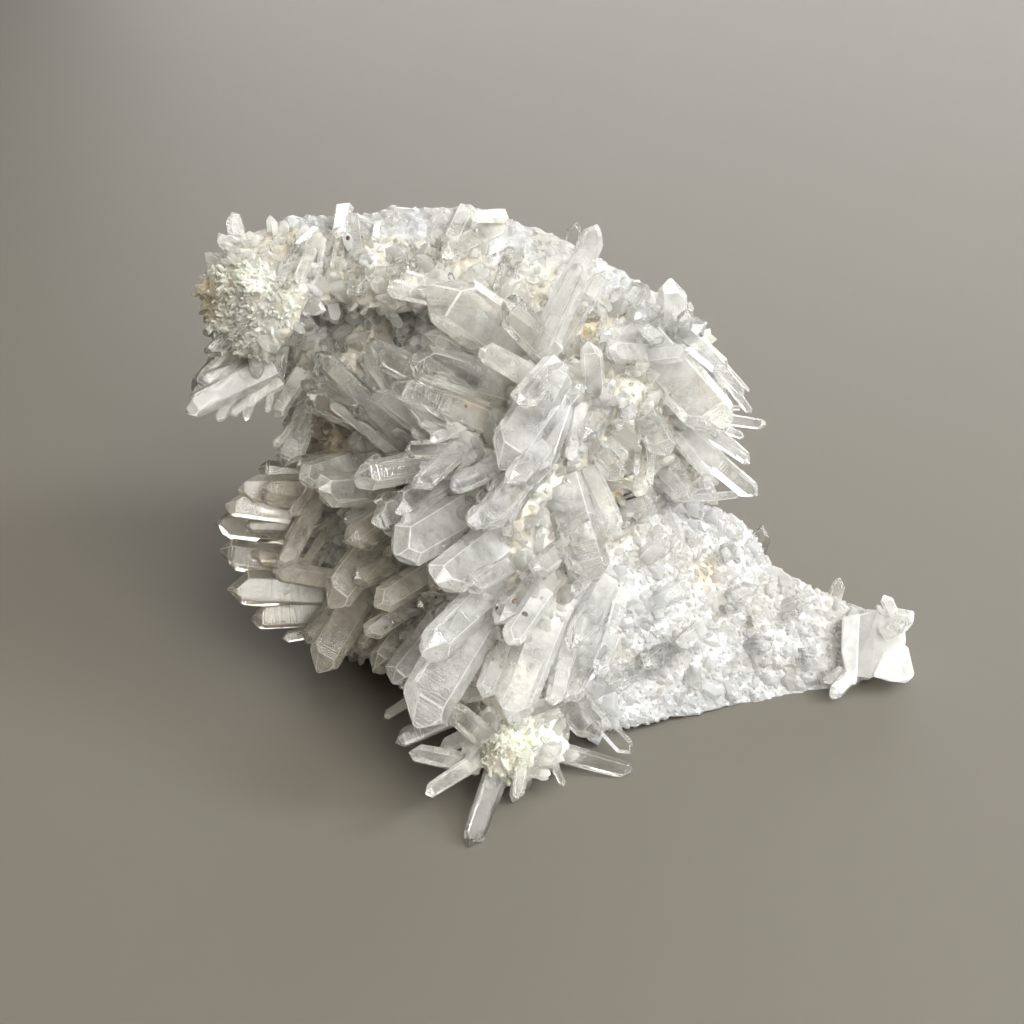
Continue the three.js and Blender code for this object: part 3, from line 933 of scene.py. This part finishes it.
def druse_piece(name, material, length, width, sunk, inputs):
    """A crust of grains on the matrix; each grain is set into it by a share of its length."""
    corners, faces, _ = quartz_point(length, width, inputs["Seed"], bevel=0)
    mesh = bpy.data.meshes.new("grain")
    mesh.from_pydata((corners - (0, 0, sunk * length)) * MM, [], faces)
    mark(mesh, "along", corners[:, 2] / length)
    grain = bpy.data.objects.new("grain", mesh)
    druse = made_by(druse_growth(material), matrix_mesh, {"Grain": grain, **inputs})
    bpy.data.objects.remove(grain)
    above_table = np.maximum(corners_of(druse), (-np.inf, -np.inf, 0)) * MM
    druse.vertices.foreach_set("co", above_table.ravel())
    set_piece(name, druse, material)


CRUST_QUARTZ = druse_quartz("crust_quartz", (0.93, 0.93, 0.91, 1.0), (0.88, 0.86, 0.80, 1.0), 0.9)
druse_piece("crust", CRUST_QUARTZ, CRUST_LENGTH, CRUST_WIDTH, 0.35, {
    "Where": "crust", "Spacing": CRUST_SPACING, "Tilt": CRUST_TILT,
    "Smallest": 0.4, "Largest": 1.6, "Seed": 11,
})

# Sugar
# A finer, whiter crust of flakes on the wing and along the broken top.
SUGAR_SPACING = 1.25 * MM
SUGAR_LENGTH = 2.8
SUGAR_WIDTH = 2.3
SUGAR_TILT = 0.6
SUGAR_QUARTZ = druse_quartz("sugar_quartz", (0.80, 0.80, 0.80, 1.0), (0.72, 0.715, 0.68, 1.0), 0.4, 0.65)
druse_piece("sugar", SUGAR_QUARTZ, SUGAR_LENGTH, SUGAR_WIDTH, 0.8, {
    "Where": "sugar", "Spacing": SUGAR_SPACING, "Tilt": SUGAR_TILT,
    "Smallest": 0.45, "Largest": 1.8, "Seed": 23,
})

# Green druse
# Fine needles, tinted green by the chlorite that they grew through, on the end of the arm.
GREEN_SPACING = 0.6 * MM
GREEN_LENGTH = 1.8
GREEN_WIDTH = 0.7
GREEN_TILT = 0.9
GREEN_TINT = (0.84, 0.88, 0.77, 1.0)
GREEN_QUARTZ = druse_quartz("green_quartz", (0.94, 0.95, 0.91, 1.0), GREEN_TINT, 0.6)
druse_piece("green_druse", GREEN_QUARTZ, GREEN_LENGTH, GREEN_WIDTH, 0.35, {
    "Where": "arm", "Spacing": GREEN_SPACING, "Tilt": GREEN_TILT,
    "Smallest": 0.4, "Largest": 1.3, "Seed": 37,
})

# Star druse
# A nest of fine, pale yellow-green points in the middle of the foot star.
STAR_TINT = (0.84, 0.87, 0.64, 1.0)
STAR_QUARTZ = druse_quartz("star_quartz", (0.94, 0.95, 0.86, 1.0), STAR_TINT, 0.6)
druse_piece("star_druse", STAR_QUARTZ, GREEN_LENGTH, GREEN_WIDTH, 0.35, {
    "Where": "star", "Spacing": GREEN_SPACING, "Tilt": GREEN_TILT,
    "Smallest": 0.4, "Largest": 1.3, "Seed": 41,
})

# Specks
# Dark grains of iron and manganese oxide that settled on the points and were partly overgrown.
# Each is given by the pixel where the camera sees it, and its breadth in millimetres.
SPECKS = (
    ((515, 601), 1.4), ((525, 614), 1.1), ((497, 608), 0.6),
    ((348, 238), 0.8), ((362, 237), 0.7), ((501, 325), 0.5), ((466, 406), 0.6), ((475, 431), 0.5),
    ((670, 395), 0.3), ((725, 396), 0.3), ((663, 432), 0.3), ((484, 549), 0.3), ((314, 541), 0.4),
    ((376, 637), 0.4), ((436, 597), 0.5), ((542, 612), 0.3), ((566, 573), 0.4),
)
SPECK_FLATNESS = 0.3
SPECK_BROWN = (0.10, 0.062, 0.032, 1.0)
SPECK_BLACK = (0.03, 0.026, 0.022, 1.0)


def speck_oxide():
    """Dull oxide, black to brown."""
    material, tree = material_tree("speck_oxide")
    where = Wire.node(tree, "ShaderNodeTexCoord", output="Object")
    patches = noise(tree, where, 900.0)
    surface = Wire.node(tree, "ShaderNodeBsdfPrincipled", None, {
        "Base Color": blend(tree, patches.below(0.4, 0.6), SPECK_BROWN, SPECK_BLACK),
        "Roughness": patches * 0.3 + 0.4,
    })
    Wire.node(tree, "ShaderNodeOutputMaterial", None, {"Surface": surface})
    return material


def seen_at(column, row, surfaces):
    """The nearest place of some surfaces that the camera sees at a pixel, and the normal there."""
    eye = MIDDLE + EYE_DISTANCE * TOWARDS_EYE
    ray = Vector(point_at((column, row, 0)) - eye).normalized()
    hits = [surface.ray_cast(Vector(eye * MM), ray) for surface in surfaces]
    place, normal, _, _ = min((hit for hit in hits if hit[0]), key=lambda hit: hit[3])
    return place, normal


def speck_grains():
    """The mesh of all specks, each a flat irregular grain on the surface that is seen there."""
    depsgraph = bpy.context.evaluated_depsgraph_get()
    surfaces = [BVHTree.FromObject(piece, depsgraph) for piece in GROWN]
    specks = bmesh.new()
    for index, ((column, row), breadth) in enumerate(SPECKS):
        place, normal = seen_at(column, row, surfaces)
        lie = normal.to_track_quat("Z", "Y").to_matrix().to_4x4()
        turn = Matrix.Rotation(index * GOLDEN_TURN, 4, "Z")
        half = breadth / 2 * MM
        shape = Matrix.Diagonal((half, half * (0.5 + 0.5 * share(index)), half * SPECK_FLATNESS, 1))
        bmesh.ops.create_icosphere(
            specks, subdivisions=2, radius=1.0, matrix=Matrix.Translation(place) @ lie @ turn @ shape
        )
    mesh = bpy.data.meshes.new("specks")
    specks.to_mesh(mesh)
    specks.free()
    return mesh


set_piece("specks", speck_grains(), speck_oxide())

# Studio
# A plain pale grey floor, large soft lights in front, above and behind, and a cooler window at the right.
FLOOR_SIDE = 8.0
FLOOR_GREY = (0.105, 0.096, 0.080, 1.0)


def floor_material():
    material, tree = material_tree("pale_floor")
    where = Wire.node(tree, "ShaderNodeTexCoord", output="Object")
    colour = blend(tree, noise(tree, where, 6.0) * 0.3, FLOOR_GREY, (0.120, 0.110, 0.092, 1.0))
    surface = Wire.node(tree, "ShaderNodeBsdfPrincipled", None, {
        "Base Color": colour, "Roughness": 0.6, "Specular IOR Level": 0.3,
    })
    Wire.node(tree, "ShaderNodeOutputMaterial", None, {"Surface": surface})
    return material


floor_mesh = bpy.data.meshes.new("floor")
half = FLOOR_SIDE / 2
floor_mesh.from_pydata(
    [(-half, -half, 0), (half, -half, 0), (half, half, 0), (-half, half, 0)], [], [(0, 1, 2, 3)]
)
floor_mesh.materials.append(floor_material())
floor = bpy.data.objects.new("floor", floor_mesh)
bpy.context.scene.collection.objects.link(floor)


def soft_light(name, place, size, power, colour):
    """A soft light of a width and height that faces the specimen."""
    lamp = bpy.data.lights.new(name, "AREA")
    lamp.shape = "RECTANGLE"
    lamp.size, lamp.size_y = size
    lamp.energy = power
    lamp.color = colour
    holder = bpy.data.objects.new(name, lamp)
    holder.location = place
    holder.rotation_euler = (Vector((0, 0, 0.03)) - Vector(place)).to_track_quat("-Z", "Y").to_euler()
    bpy.context.scene.collection.objects.link(holder)


soft_light("ceiling", (0.40, -0.20, 1.10), (1.2, 1.2), 17.5, (1.0, 0.985, 0.95))
soft_light("front_panel", (0.68, -1.12, 0.85), (1.1, 1.1), 32.0, (1.0, 0.98, 0.945))
soft_light("window", (1.05, -0.05, 0.70), (0.4, 0.4), 16.5, (0.90, 0.95, 1.0))
soft_light("back_panel", (0.40, 1.45, 0.45), (2.0, 0.7), 16.0, (1.0, 1.0, 1.0))
world = bpy.data.worlds.new("room")
world.use_nodes = True
world.node_tree.nodes["Background"].inputs["Color"].default_value = (0.64, 0.56, 0.44, 1.0)
world.node_tree.nodes["Background"].inputs["Strength"].default_value = 0.3
bpy.context.scene.world = world

settings = bpy.context.scene.cycles
settings.use_denoising = True
settings.adaptive_threshold = 0.15
settings.max_bounces = 14
settings.transmission_bounces = 14
settings.glossy_bounces = 8
settings.diffuse_bounces = 7
bpy.context.scene.view_settings.view_transform = "Standard"
